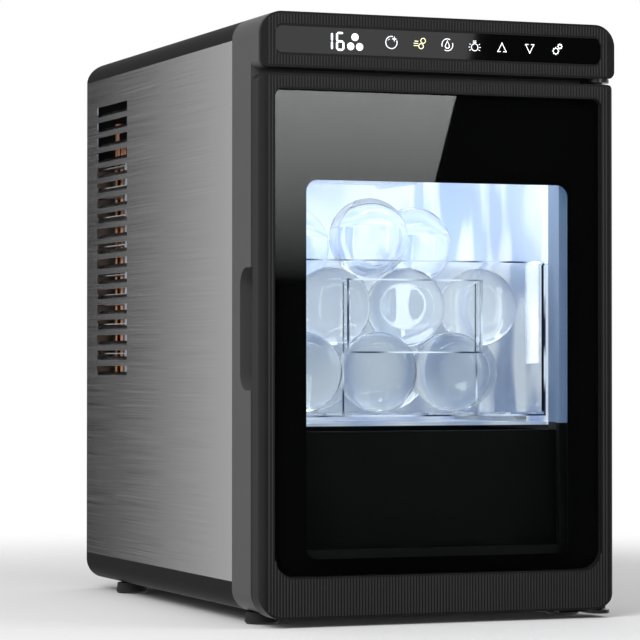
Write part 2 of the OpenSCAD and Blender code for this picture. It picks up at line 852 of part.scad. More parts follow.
module water_hose() {
  low = pump_z + pump_h + 24;
  top = shaft_z - elbow_drop;
  turn = top - 40;
  color([0.8, 0.8, 0.82]) pipe([[pump_x, pump_y, pump_z + pump_h + 8], [pump_x, pump_y, low],
                                [hose_x, pump_y, low], [hose_x, pump_y, turn], [hose_x, shaft_y, turn],
                                [hose_x, shaft_y, top]], hose_r);
}

module pump_housing() {
  floor_t = 4;
  color(black) translate([pump_x, pump_y, pump_z]) {
    difference() {
      union() {
        cylinder(h = pump_h - 4, r = pump_r);
        translate([0, tank_y1 - tank_wall - 6 - pump_y, pump_port_z - pump_z]) rotate([-90, 0, 0])
          cylinder(h = pump_y - tank_y1 + tank_wall + 6 - pump_r + 4, r = port_r);
      }
      translate([0, 0, floor_t]) cylinder(h = pump_h, r = impeller_r + 3);
      translate([0, 0, pump_h - 4]) cylinder(h = pump_h, r = pump_r + fit);
      translate([0, tank_y1 - tank_wall - 7 - pump_y, pump_port_z - pump_z]) rotate([-90, 0, 0])
        cylinder(h = pump_y - tank_y1 + tank_wall + 7, r = port_r - 2);
    }
    difference() {
      cylinder(h = pump_h - 18, r = 5);
      translate([0, 0, floor_t]) cylinder(h = pump_h, r = spindle_r + run);
    }
  }
}

module pump_cover() {
  color(black) translate([pump_x, pump_y, pump_z + pump_h - 4]) difference() {
    union() {
      cylinder(h = 4, r = pump_r);
      cylinder(h = 12, r = hose_r);
    }
    translate([0, 0, -1]) cylinder(h = 14, r = hose_r - 2);
  }
}

module pump_impeller() {
  base = pump_h - 18 + fit;
  color(white) translate([pump_x, pump_y, pump_z + base]) {
    cylinder(h = 2, r = impeller_r);
    for (a = [0 : 60 : 300]) rotate([0, 0, a]) translate([3, -0.8, 2 - eps]) cube([impeller_r - 4, 1.6, 7]);
    translate([0, 0, -8]) cylinder(h = 8 + eps, r = spindle_r);
  }
}

// Cooling unit

pot_foot_r = pot_r + 12;
pot_feet = [for (a = [30, 150, 270]) [pot_x + pot_foot_r * cos(a), pot_y + pot_foot_r * sin(a)]];

module compressor() {
  dome_r = 22;
  color(black) difference() {
    union() {
      translate([pot_x, pot_y, pot_z0 - eps]) rotate_extrude() intersection() {
        panel2d(2 * pot_r, pot_h, dome_r, dome_r / 2);
        translate([0, -1]) square([pot_r + 1, pot_h + 2]);
      }
      for (p = pot_feet) {
        translate([p[0], p[1], pot_z0 - pot_foot_t]) cylinder(h = pot_foot_t, r = 9);
      }
      translate([pot_x, pot_y, pot_z0 - pot_foot_t]) cylinder(h = pot_foot_t, r = pot_foot_r - 7);
    }
    for (p = pot_feet) translate([p[0], p[1], pot_z0 - pot_foot_t - 1]) cylinder(h = pot_foot_t + 2, r = 3.5);
  }
}

module compressor_grommets() {
  color([0.12, 0.12, 0.12]) for (p = pot_feet) translate([p[0], p[1], pan_floor]) {
    cylinder(h = grommet_h, r = 8);
    cylinder(h = grommet_h + pot_foot_t, r = 3.5 - run);
    translate([0, 0, grommet_h + pot_foot_t]) cylinder(h = 2, r = 6);
  }
}

module condenser_fins() {
  end_t = 1.5;
  pitch = coil_h / (fin_count - 1);
  y0 = fan_y - coil_d / 2;
  color(steel) {
    for (i = [0 : fin_count - 1])
      block([coil_x0, y0 + end_t - eps, coil_z0 + i * pitch - 0.4], [coil_x0 + coil_t, y0 + coil_d - end_t + eps,
             coil_z0 + i * pitch + 0.4]);
    for (y = [y0, y0 + coil_d - end_t])
      block([coil_x0, y, coil_z0 - 0.4], [coil_x0 + coil_t, y + end_t, coil_z0 + coil_h + 0.4]);
  }
}

// One tube goes up and down through the fins, in four runs.
module condenser_tube() {
  z0 = coil_z0 - coil_end;
  y1 = coil_y + coil_step;
  y2 = y1 + coil_step;
  y3 = y2 + coil_step;
  color(copper) pipe([[coil_x, coil_y, coil_top], [coil_x, coil_y, z0], [coil_x, y1, z0], [coil_x, y1, coil_top],
                      [coil_x, y2, coil_top], [coil_x, y2, z0], [coil_x, y3, z0], [coil_x, y3, coil_top]], pipe_r);
}

module condenser_stand() {
  y0 = fan_y - coil_d / 2;
  foot = 14;
  notch_x = -side_x + edge_r + 2.5;   // clears the pan's round corner
  notch_h = 9;
  color(steel) for (y = [y0, y0 + coil_d - 2])
    difference() {
      block([coil_x0, y, pan_floor], [coil_x0 + coil_t, y + 2, coil_z0 - 0.4]);
      block([coil_x0 + 6, y - 1, pan_floor + foot], [coil_x0 + coil_t - 6, y + 3, coil_z0 - foot]);
      block([coil_x0 - 1, y - 1, pan_floor - 1], [notch_x, y + 3, pan_floor + notch_h]);
    }
}

module fan_shroud() {
  y0 = fan_y - coil_d / 2;
  hub_x = hub_end - hub_t;
  color(black) {
    difference() {
      union() {
        block([coil_x0 + coil_t, y0, coil_z0], [shroud_x0 + shroud_t, y0 + coil_d, coil_z0 + coil_h]);
        rod_x(shroud_x0 + shroud_t / 2, duct_l - shroud_t / 2, duct_r + duct_wall, fan_y, fan_z);
      }
      block([coil_x0 + coil_t - 1, y0 + 2, coil_z0 + 2], [shroud_x0, y0 + coil_d - 2, coil_z0 + coil_h - 2]);
      rod_x(shroud_x0 - 1, duct_l + 2, duct_r, fan_y, fan_z);
    }
    difference() {
      union() {
        rod_x(hub_x, hub_t, motor_r, fan_y, fan_z);
        for (a = [0, 120, 240])
          translate([hub_x, fan_y, fan_z]) rotate([a, 0, 0]) translate([0, -2.5, motor_r - 1])
            cube([hub_t, 5, duct_r - motor_r + 2]);
      }
      rod_x(hub_x - 1, 5, 6, fan_y, fan_z);
    }
  }
}

module fan_motor() {
  x0 = hub_end;
  color(black) difference() {
    union() {
      rod_x(x0, 18, motor_r - 1, fan_y, fan_z);
      rod_x(x0 - 3, 4, 5.5, fan_y, fan_z);
    }
    rod_x(x0 - 4, 14, spindle_r + run, fan_y, fan_z);
  }
}

module fan_rotor() {
  hub_r = 12;
  x0 = shroud_x0 + 3;
  l = duct_l - 11;
  color([0.15, 0.15, 0.16]) {
    rod_x(x0, l, hub_r, fan_y, fan_z);
    rod_x(x0 + l - eps, 16, spindle_r, fan_y, fan_z);
    for (i = [0 : fan_blades - 1])
      translate([x0 + l / 2, fan_y, fan_z]) rotate([i * 360 / fan_blades, 0, 0])
        translate([0, 0, hub_r - 2]) rotate([0, 0, 35]) translate([-0.8, -8, 0]) cube([1.6, 16, fan_r - hub_r]);
  }
}

pipe_r = 2.5;
coil_x = coil_x0 + coil_t / 2;
coil_y = fan_y - coil_d / 2 + 14;
coil_step = (coil_d - 28) / 3;
coil_end = 10;
coil_top = coil_z0 + coil_h + coil_end;
pot_top = pot_z0 - eps + pot_h;

module discharge_pipe() {
  rise = 30;
  drop = 70;
  color(copper) pipe([[pot_x, pot_y, pot_top], [pot_x, pot_y, pot_top + rise], [pot_x - drop, pot_y, pot_top + rise],
                      [pot_x - drop, pot_y, coil_top + 6], [coil_x, pot_y, coil_top + 6],
                      [coil_x, coil_y, coil_top + 6], [coil_x, coil_y, coil_top]], pipe_r);
}

module liquid_pipe() {
  y1 = coil_y + 3 * coil_step;
  y2 = tube_end + 9;
  z1 = coil_top + 18;
  color(copper) pipe([[coil_x, y1, coil_top], [coil_x, y1, z1], [-tube_x, y1, z1], [-tube_x, y2, z1],
                      [-tube_x, y2, tube_z], [-tube_x, tube_end, tube_z]], pipe_r - 0.5);
}

module suction_pipe() {
  dx = 22;
  dy = 14;
  color(copper) pipe([[tube_x, tube_end, tube_z], [tube_x, pot_y + dy, tube_z], [pot_x + dx, pot_y + dy, tube_z],
                      [pot_x + dx, pot_y + dy, pot_top]], tube_r);
}

board_x = side_x - sheet - 14;
board_y0 = -10;
board_y1 = 66;
board_z0 = 140;
board_z1 = 232;
module main_board() {
  color("darkgreen") difference() {
    block([board_x, board_y0, board_z0], [board_x + board_t, board_y1, board_z1]);
    for (y = [board_y0 + 6, board_y1 - 6], z = [board_z0 + 6, board_z1 - 6])
      rod_x(board_x - 1, board_t + 2, 1.6, y, z);
  }
  color(black) {
    block([board_x - 5, board_y0 + 14, board_z0 + 20], [board_x + eps, board_y0 + 34, board_z0 + 44]);
    rod_x(board_x - 5, 5 + eps, 8, board_y1 - 22, board_z0 + 30);
    block([board_x - 4, board_y0 + 16, board_z1 - 34], [board_x + eps, board_y1 - 16, board_z1 - 18]);
  }
}

module board_standoffs() {
  color(white) for (y = [board_y0 + 6, board_y1 - 6], z = [board_z0 + 6, board_z1 - 6]) {
    rod_x(board_x + board_t, side_x - sheet - board_x - board_t, 3.5, y, z);
    rod_x(board_x - 1, board_t + 1 + eps, 1.6 - run, y, z);
  }
}

base_pan();
rubber_feet();
front_frame();
top_cover();
left_side_panel();
right_side_panel();
rear_panel();
case_screws();
power_inlet();
drain_plug();
control_fascia();
touch_strip();
control_board();
door_frame();
door_glass();
glass_mask();
inner_pane();
door_liner();
door_gasket();
hinge_bushes();
upper_hinge_bracket();
lower_hinge_bracket();
ice_bay_liner();
lamp_housing();
lamp_lens();
basket_runners();
ice_basket();
ice_spheres();
water_tank();
evaporator();
evaporator_tube();
mould_tray();
tray_shaft();
spray_manifold();
tilt_motor();
water_inlet_elbow();
water_hose();
pump_housing();
pump_cover();
pump_impeller();
compressor();
compressor_grommets();
condenser_fins();
condenser_tube();
condenser_stand();
fan_shroud();
fan_motor();
fan_rotor();
discharge_pipe();
liquid_pipe();
suction_pipe();
main_board();
board_standoffs();
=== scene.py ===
# %% [markdown]
# # A countertop ice sphere machine
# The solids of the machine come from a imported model. This lesson gives them their looks:
# ribbed plastic, brushed steel, glass with a black print, a lit bay and a basket of clear ice.
# Every length is in metres, and every piece sits where the solids say.

# %% Load the frame
import json
import math

import bmesh
import bpy
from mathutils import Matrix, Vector, noise

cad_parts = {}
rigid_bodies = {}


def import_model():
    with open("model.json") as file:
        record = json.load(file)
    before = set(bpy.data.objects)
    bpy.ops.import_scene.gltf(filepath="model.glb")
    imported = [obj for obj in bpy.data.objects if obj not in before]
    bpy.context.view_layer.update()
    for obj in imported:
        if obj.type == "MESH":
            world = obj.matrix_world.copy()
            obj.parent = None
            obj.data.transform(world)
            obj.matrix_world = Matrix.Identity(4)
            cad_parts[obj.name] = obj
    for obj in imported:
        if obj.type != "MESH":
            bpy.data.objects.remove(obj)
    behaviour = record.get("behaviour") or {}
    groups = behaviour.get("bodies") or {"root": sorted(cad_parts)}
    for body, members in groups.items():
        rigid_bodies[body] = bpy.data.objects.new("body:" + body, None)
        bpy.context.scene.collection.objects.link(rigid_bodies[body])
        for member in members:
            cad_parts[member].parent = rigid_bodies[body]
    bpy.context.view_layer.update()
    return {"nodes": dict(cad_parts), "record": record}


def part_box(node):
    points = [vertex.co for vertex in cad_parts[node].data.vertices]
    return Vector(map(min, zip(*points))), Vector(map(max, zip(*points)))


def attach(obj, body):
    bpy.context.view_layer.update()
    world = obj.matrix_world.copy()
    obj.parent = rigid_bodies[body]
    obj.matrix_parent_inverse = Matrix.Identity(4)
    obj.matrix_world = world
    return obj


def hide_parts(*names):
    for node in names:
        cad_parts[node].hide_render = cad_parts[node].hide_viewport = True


for leftover in list(bpy.data.objects):
    bpy.data.objects.remove(leftover)
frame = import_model()
nodes = frame["nodes"]
MM = 0.001

# %% [markdown]
# ## The camera
# The picture was taken with a long lens from the front left, a little below the middle of the door.
# A long lens keeps upright lines upright, so the camera stands two metres away and tilts up by less
# than a degree. Its place was solved from the corners of the door, the head and the side panel.

# %% Camera
CAMERA_PLACE = (-0.8065, -2.0433, 0.1761)
CAMERA_TURN = math.radians(21.26)
CAMERA_TILT = math.radians(0.8)
CAMERA_LENS = 168.2

scene = bpy.context.scene
camera_data = bpy.data.cameras.new("photo_camera")
camera_data.lens = CAMERA_LENS
camera_data.clip_end = 50
camera = bpy.data.objects.new("photo_camera", camera_data)
camera.location = CAMERA_PLACE
camera.rotation_euler = (math.pi / 2 + CAMERA_TILT, 0, -CAMERA_TURN)
scene.collection.objects.link(camera)
scene.camera = camera
scene.view_settings.view_transform = "Standard"
scene.cycles.max_bounces = 24
scene.cycles.transmission_bounces = 20
scene.cycles.transparent_max_bounces = 24
print("camera lens:", CAMERA_LENS, "mm")

# %% [markdown]
# ## Writing shader maths in Python
# A material is a graph of nodes. Math nodes could be wired one by one, but long rows of links hide the
# idea. So `Wire` wraps one output socket and lets Python's own operators add the Math nodes.

# %% Wire
class Wire:
    """A value that flows through a material."""

    def __init__(self, recipe, socket):
        self.recipe = recipe
        self.socket = socket

    def calc(self, operation, first, second):
        return self.recipe.node("ShaderNodeMath", {"operation": operation}, {0: first, 1: second})

    def __add__(self, other):
        return self.calc("ADD", self, other)

    def __sub__(self, other):
        return self.calc("SUBTRACT", self, other)

    def __rsub__(self, other):
        return self.calc("SUBTRACT", other, self)

    def __mul__(self, other):
        return self.calc("MULTIPLY", self, other)

    def above(self, limit):
        return self.calc("GREATER_THAN", self, limit)

    __radd__ = __add__
    __rmul__ = __mul__


print("Wire adds, subtracts, multiplies and compares")

# %% [markdown]
# ## One material at a time
# `Recipe` is one material. Its `node` method makes any node, with its settings first and its sockets
# after, and a socket takes a number or a wire. The other methods are steps that many finishes share:
# a cloudy noise, a mix of colours, a place on the machine, a ramp and a bump.

# %% Recipe
class Recipe:
    """One material, built from nodes."""

    def __init__(self, name):
        self.material = bpy.data.materials.new(name)
        self.material.use_nodes = True
        self.tree = self.material.node_tree
        self.tree.nodes.clear()
        self.output = self.tree.nodes.new("ShaderNodeOutputMaterial")

    def node(self, kind, settings=None, sockets=None, out=0):
        made = self.tree.nodes.new(kind)
        for key, value in (settings or {}).items():
            setattr(made, key, value)
        for key, value in (sockets or {}).items():
            self.feed(made.inputs[key], value)
        return Wire(self, made.outputs[out])

    def feed(self, socket, value):
        if isinstance(value, Wire):
            self.tree.links.new(value.socket, socket)
        else:
            socket.default_value = value

    def noise(self, scale, detail=3.0, squeeze=(1, 1, 1)):
        """A cloudy value from 0 to 1. A small number in squeeze stretches it along that axis."""
        place = self.node("ShaderNodeTexCoord", out="Object")
        place = self.node("ShaderNodeMapping", {}, {"Vector": place, "Scale": squeeze})
        return self.node("ShaderNodeTexNoise", {}, {"Vector": place, "Scale": scale, "Detail": detail})

    def blend(self, amount, first, second):
        """A mix of two colours, each a wire or four numbers."""
        return self.node("ShaderNodeMix", {"data_type": "RGBA"},
                         {"Factor": amount, 6: first, 7: second}, out=2)

    def tint(self, amount, dark, light):
        """A colour between two others."""
        return self.blend(amount, (*dark, 1), (*light, 1))

    def place(self, axis):
        """Where a point lies along one axis of the machine, in metres."""
        spot = self.node("ShaderNodeTexCoord", out="Object")
        return self.node("ShaderNodeSeparateXYZ", {}, {0: spot}, out=axis)

    def ramp(self, value, low, high):
        """0 at low, 1 at high, and held beyond them."""
        return self.node("ShaderNodeMapRange", {}, {"Value": value, "From Min": low, "From Max": high,
                                                    "To Min": 0.0, "To Max": 1.0})

    def bump(self, height, strength, distance):
        return self.node("ShaderNodeBump", {}, {"Height": height, "Strength": strength, "Distance": distance})

    def finish(self, shader):
        self.tree.links.new(shader.socket, self.output.inputs["Surface"])
        return self.material

    def surface(self, sockets):
        return self.finish(self.node("ShaderNodeBsdfPrincipled", {}, sockets))


print("shader helpers ready")

# %% [markdown]
# ## Moulded plastic
# The cabinet's covers are moulded plastic with a fine spark texture. Noise about half a millimetre
# across feeds a weak bump, and a slower noise shifts the colour and the gloss a little, as handling
# and moulding do. An image of a surface could do the same, but it would need unwrapped faces. Noise
# in object space needs none.

# %% Plastic finishes
def moulded(name, dark, light, rough, sheen=0.3, grain=1800, depth=0.00001):
    recipe = Recipe(name)
    cloud = recipe.noise(9.0)
    fine = recipe.noise(grain, 2.0)
    return recipe.surface({
        "Specular IOR Level": sheen,
        "Base Color": recipe.tint(cloud, dark, light),
        "Roughness": rough + (cloud - 0.5) * 0.12,
        "Normal": recipe.bump(fine, 0.35, depth),
    })


grey_plastic = moulded("grey_plastic", (0.068, 0.068, 0.069), (0.084, 0.084, 0.085), 0.45)
black_plastic = moulded("black_plastic", (0.012, 0.012, 0.012), (0.018, 0.018, 0.018), 0.6, 0.05)
ribbed_plastic = moulded("ribbed_plastic", (0.010, 0.010, 0.010), (0.014, 0.014, 0.014), 0.45, 0.15)
# The ribs are the same black plastic as the border, made lighter here as a painted highlight on their crests.
rib_painted_highlight = moulded("rib_painted_highlight", (0.026, 0.026, 0.026), (0.034, 0.034, 0.034), 0.38, 0.3)
white_plastic = moulded("white_plastic", (0.80, 0.84, 0.90), (0.86, 0.89, 0.94), 0.35)
rubber = moulded("rubber", (0.012, 0.012, 0.012), (0.02, 0.02, 0.02), 0.75, 0.3, 900, 0.0001)
circuit_board = moulded("circuit_board", (0.01, 0.09, 0.03), (0.02, 0.14, 0.05), 0.35)
print("moulded finishes made")

# %% [markdown]
# ## Metals
# The side panels are steel, brushed from front to back. A noise stretched far along the brushing
# gives long thin streaks, which change the colour, the gloss and the bump together. An anisotropic
# gloss would stretch the highlights too, but from here the streaks themselves are what shows. Copper,
# aluminium and plated steel are the same idea with softer marks.

# %% Metal finishes
def metal(name, dark, light, rough, squeeze, scale, depth):
    recipe = Recipe(name)
    streak = recipe.noise(scale, 4.0, squeeze)
    return recipe.surface({
        "Base Color": recipe.tint(streak, dark, light),
        "Metallic": 1.0,
        "Roughness": rough + (streak - 0.5) * 0.22,
        "Normal": recipe.bump(streak, 0.25, depth),
    })


BRUSHING = (1, 0.003, 1)
brushed_steel = metal("brushed_steel", (0.44, 0.44, 0.445), (0.62, 0.62, 0.625),
                      0.20, BRUSHING, 2600, 0.00001)
plain_steel = metal("plain_steel", (0.50, 0.50, 0.51), (0.62, 0.62, 0.63), 0.28, (1, 1, 1), 300, 0.00002)
aluminium = metal("aluminium", (0.62, 0.63, 0.64), (0.74, 0.75, 0.76), 0.38, (1, 1, 1), 500, 0.00003)
copper = metal("copper", (0.56, 0.27, 0.15), (0.72, 0.40, 0.25), 0.30, (1, 1, 0.2), 200, 0.00002)
black_steel = moulded("black_steel", (0.015, 0.015, 0.015), (0.03, 0.03, 0.03), 0.3, 0.4, 500, 0.00008)
print("metal finishes made")

# %% [markdown]
# ## Glass, clear plastic and ice
# The door's panes are flat, so they need no bending of light: a clear surface that mirrors a little
# more at a glance is enough, and it keeps the bay easy to see. A faint mirror over a clear surface
# renders with much noise. So its index is set below that of real glass, and it mirrors only inside
# the clear window: round it the glossy black print behind the pane does the mirroring. Thick clear
# pieces do bend light. The basket has nearly plastic's index, and the ice has its own, lower one.

# %% Clear finishes
PANE_WINDOW = (0.096, 0.297)


def clear_pane(name, index, window):
    """A flat pane with a faint mirror inside its window, given as a half width and a top."""
    half, top = window
    recipe = Recipe(name)
    across, up = recipe.place("X"), recipe.place("Z")
    inside = (half * half - across * across).above(0) * (top - up).above(0)
    glance = recipe.node("ShaderNodeFresnel", {}, {"IOR": index}) * inside
    smear = recipe.noise(14.0)
    rough = 0.004 + smear * 0.012
    mirror = recipe.node("ShaderNodeBsdfGlossy", {}, {"Color": (1, 1, 1, 1), "Roughness": rough})
    through = recipe.node("ShaderNodeBsdfTransparent", {}, {"Color": (0.97, 0.985, 0.98, 1)})
    return recipe.finish(recipe.node("ShaderNodeMixShader", {}, {0: glance, 1: through, 2: mirror}))


def clear_solid(name, colour, index, rough, grain, depth):
    recipe = Recipe(name)
    cloud = recipe.noise(grain, 3.0)
    return recipe.surface({
        "Base Color": (*colour, 1),
        "Transmission Weight": 1.0,
        "IOR": index,
        "Roughness": rough + cloud * rough,
        "Normal": recipe.bump(cloud, 0.2, depth),
    })


clear_glass = clear_pane("clear_glass", 1.15, PANE_WINDOW)
clear_plastic = clear_solid("clear_plastic", (0.98, 0.99, 1.0), 1.46, 0.004, 60, 0.0001)
clear_ice = clear_solid("clear_ice", (0.97, 0.985, 1.0), 1.31, 0.003, 45, 0.0008)
print("clear finishes made")

# %% [markdown]
# ## Black print, touch glass, tank and lamp
# The border of the door's glass is printed black on its back. The touch strip is black glass, and
# the tank is smoked plastic. They differ mostly in how well they mirror, so one helper makes all
# three. The lamp's cover glows a cool white, because a light alone would leave the cover dark.

# %% Dark gloss and glow
def dark_gloss(name, dark, light, rough, sheen):
    recipe = Recipe(name)
    cloud = recipe.noise(20.0)
    return recipe.surface({
        "Base Color": recipe.tint(cloud, dark, light),
        "Roughness": rough + cloud * 0.012,
        "Specular IOR Level": sheen,
    })


def glow(name, colour, strength):
    recipe = Recipe(name)
    cloud = recipe.noise(400.0)
    return recipe.surface({
        "Base Color": (*colour, 1),
        "Roughness": 0.4,
        "Emission Color": recipe.tint(cloud, tuple(c * 0.96 for c in colour), colour),
        "Emission Strength": strength,
    })


black_print = dark_gloss("black_print", (0.002, 0.002, 0.002), (0.003, 0.003, 0.003), 0.004, 0.5)
black_glass = dark_gloss("black_glass", (0.002, 0.002, 0.002), (0.003, 0.003, 0.003), 0.04, 0.10)
smoked_plastic = dark_gloss("smoked_plastic", (0.008, 0.008, 0.008), (0.012, 0.012, 0.012), 0.2, 0.2)
lamp = glow("lamp", (0.80, 0.90, 1.0), 1.8)
white_light = glow("white_light", (0.92, 0.96, 1.0), 1.0)
yellow_light = glow("yellow_light", (0.95, 0.92, 0.55), 1.0)
print("dark and glowing finishes made")

# %% [markdown]
# ## Dressing the solids
# Each solid already names its finish in the record, so one loop dresses all of them. Round solids
# are shaded smooth up to an angle, so that flat faces keep their edges. The steel hinge pieces are
# dressed black as painted shade, where they sit in the gaps round the door, and the basket gets a
# small bevel, so that its edges catch the light.

# %% Dress every node
FINISHES = {
    "grey_plastic": grey_plastic, "black_plastic": black_plastic, "ribbed_plastic": ribbed_plastic,
    "brushed_steel": brushed_steel, "plain_steel": plain_steel, "clear_glass": clear_glass,
    "black_print": black_print, "black_glass": black_glass, "white_plastic": white_plastic,
    "clear_plastic": clear_plastic, "lamp": lamp, "clear_ice": clear_ice, "smoked_plastic": smoked_plastic,
    "copper": copper, "aluminium": aluminium, "black_steel": black_steel, "rubber": rubber,
    "circuit_board": circuit_board,
}
SMOOTH_ANGLE = math.radians(32)


def dress(thing, material):
    thing.data.materials.clear()
    thing.data.materials.append(material)


def smooth_by_angle(thing):
    """Shades faces smooth, and keeps an edge sharp where two faces meet at more than the angle."""
    mesh = thing.data
    mesh.shade_smooth()
    mesh.set_sharp_from_angle(angle=SMOOTH_ANGLE)


for entry in frame["record"]["subparts"]:
    solid = nodes[entry["node"]]
    dress(solid, FINISHES[entry["material_slot"]])
    smooth_by_angle(solid)
# Painted shade: the steel hinge pieces, which sit in the gaps round the door, are dressed black.
for hinge_piece in ("upper_hinge_bracket", "lower_hinge_bracket", "hinge_bushes"):
    dress(nodes[hinge_piece], black_steel)
soft_edges = nodes["ice_basket"].modifiers.new("soft_edges", "BEVEL")
soft_edges.width = 0.6 * MM
soft_edges.segments = 2
soft_edges.limit_method = "ANGLE"
print("dressed", len(nodes), "solids")

# %% [markdown]
# ## Edges of the panes
# A pane's cut edge is a narrow mirror when light meets it from inside, and shows as a bright fleck.
# On the machine the frame hides it. Here the edge faces get a second, black finish.

# %% Panes
def blacken_edges(pane):
    """The cut edges of a pane are painted, so that no stray light shows in them."""
    mesh = nodes[pane].data
    mesh.materials.append(black_plastic)
    for face in mesh.polygons:
        if abs(face.normal.y) < 0.5:
            face.material_index = 1


for pane in ("door_glass", "glass_mask", "inner_pane", "touch_strip"):
    nodes[pane].data.shade_flat()
    blacken_edges(pane)
print("panes edged in black")

# %% [markdown]
# ## The lit bay
# On the real machine a lamp in the ceiling fills the white bay with cool light, which bounces many
# times. To follow every bounce would take long, so the liner also glows by itself, more high up and
# in soft patches, and less at the sides. The ice bends these patches into its bright and dark shapes.

# %% Lit liner
BAY_GLOW = 0.56
BAY_FADE = (0.134, 0.33)
BAY_SIDE = 0.1045


def lit_white():
    """White plastic lit from above: bright high up and in patches, deep blue at the sides and low down."""
    recipe = Recipe("lit_white")
    across = recipe.place("X")
    patch = recipe.noise(26.0, 1.0, (1, 1, 0.6))
    band = recipe.ramp(recipe.noise(40.0, 1.0, (0.4, 1, 0.25)), 0.44, 0.66)
    side = (across * across).above(BAY_SIDE * BAY_SIDE)
    rise = recipe.ramp(recipe.place("Z"), *BAY_FADE)
    level = rise * 0.55 + (patch - 0.36) * 2.2 - side * (0.6 - band * 1.5)
    return recipe.surface({
        "Base Color": recipe.tint(patch, (0.60, 0.68, 0.84), (0.70, 0.76, 0.88)),
        "Roughness": 0.30 + patch * 0.1,
        "Emission Color": recipe.tint(level, (0.17, 0.23, 0.40), (0.92, 0.93, 0.95)),
        "Emission Strength": BAY_GLOW,
    })


dress(nodes["ice_bay_liner"], lit_white())
print("bay glow:", BAY_GLOW)

# %% [markdown]
# ## The walls round the opening
# The same light falls on the inner walls of the door's opening and of the mouth of the bay. Here it is
# painted on: those walls get a pale blue colour and a faint blue glow. These walls belong to solids that
# are dark elsewhere. Painting faces one by one could split them, but a test of each point against the
# opening is shorter and leaves the mesh alone.

# %% Lit openings
# Painted light: the pale blue that the bay's light would give the walls round the opening.
PAINTED_BAY_LIGHT = (0.30, 0.34, 0.42, 1)
DOOR_OPENING = (0.1035, -0.1915, 0.3475)
LINER_OPENING = (0.1040, -0.2, 0.3525)
MOUTH_OPENING = (0.1065, -0.2, 0.3525)


def opening_with_painted_light(name, dark, light, opening):
    """Plastic whose inner walls, round a clear opening, get the bay's blue light painted on as colour and
    glow.
    """
    hole_half, deep, top = opening
    recipe = Recipe(name)
    across, along, up = (recipe.place(axis) for axis in "XYZ")
    between = up.above(BAY_FADE[0]) * (top - up).above(0)
    inside = (hole_half * hole_half - across * across).above(0) * along.above(deep) * between
    cloud = recipe.noise(30.0)
    # Painted light: inside the opening the colour turns pale blue and glows faintly, in place of the bay's
    # light.
    return recipe.surface({
        "Base Color": recipe.blend(inside, recipe.tint(cloud, dark, light), PAINTED_BAY_LIGHT),
        "Roughness": 0.45 + cloud * 0.1,
        "Specular IOR Level": 0.2,
        "Emission Color": recipe.tint(inside, (0, 0, 0), (0.035, 0.070, 0.150)),
        "Emission Strength": 1.0,
    })


dress(nodes["door_frame"],
      opening_with_painted_light("door_dark", (0.010, 0.010, 0.010), (0.014, 0.014, 0.014), DOOR_OPENING))
dress(nodes["door_liner"],
      opening_with_painted_light("door_liner", (0.012, 0.012, 0.012), (0.016, 0.016, 0.016), LINER_OPENING))
dress(nodes["front_frame"],
      opening_with_painted_light("frame_grey", (0.068, 0.068, 0.069), (0.084, 0.084, 0.085), MOUTH_OPENING))
print("openings lit above", BAY_FADE[0], "m")

# %% [markdown]
# ## Mesh helpers
# New pieces are built in bmesh and then linked, dressed and set to ride on a body of the machine.
# Primitives and modifiers could make them too, but a few lines of bmesh give exact sizes, and one
# helper keeps the last steps the same for every piece.

# %% Make a piece
def make_piece(name, mesh_maker, material, body, smooth=True):
    mesh = bpy.data.meshes.new(name)
    shape = bmesh.new()
    mesh_maker(shape)
    bmesh.ops.recalc_face_normals(shape, faces=shape.faces)
    shape.to_mesh(mesh)
    shape.free()
    piece = bpy.data.objects.new(name, mesh)
    scene.collection.objects.link(piece)
    dress(piece, material)
    if smooth:
        smooth_by_angle(piece)
    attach(piece, body)
    print(name, "faces:", len(mesh.polygons))
    return piece


print("piece helper ready")

# %% [markdown]
# ## The ribbed border
# The door's border and the control head carry fine upright ribs, a little over two millimetres
# apart. A bump map would vanish at this scale, so each rib is a low half-round bar. An array of one
# bar would not do, because the ribs end at the round corners of the border and of the glass. So each
# length is worked out with a circle's formula.

# %% Rib lengths
RIB_PITCH = 2.17 * MM
RIB_PROUD = 0.55 * MM
RIB_WIDTH = 0.62
RIB_MARGIN = 1.6 * MM
PLAIN_EDGE = 5.5 * MM


def edge_drop(x, half, radius):
    """How far a round corner draws an edge in at x, on an outline with that half width."""
    over = max(0.0, abs(x) - (half - radius))
    over = min(over, radius)
    return radius - math.sqrt(max(0.0, radius * radius - over * over))


def rib_spans(outer, inner, outer_radii, inner_radii):
    """The lengths of rib, as x, low, high, between an outer and an inner rounded rectangle."""
    half, low, high = outer
    in_half, in_low, in_high = inner
    count = int((half - PLAIN_EDGE) / RIB_PITCH)
    for i in range(-count, count + 1):
        x = i * RIB_PITCH
        z0 = low + edge_drop(x, half, outer_radii[0]) + RIB_MARGIN
        z1 = high - edge_drop(x, half, outer_radii[1]) - RIB_MARGIN
        if abs(x) > in_half + RIB_MARGIN:
            yield x, z0, z1
        else:
            yield x, z0, in_low + edge_drop(x, in_half, inner_radii[0]) - RIB_MARGIN
            yield x, in_high - edge_drop(x, in_half, inner_radii[1]) + RIB_MARGIN, z1


print("rib pitch:", RIB_PITCH, "height:", RIB_PROUD)

# %% [markdown]
# ## The shape of a rib
# A rib is half an ellipse, drawn up along its length. Four flat sides are enough at this size.

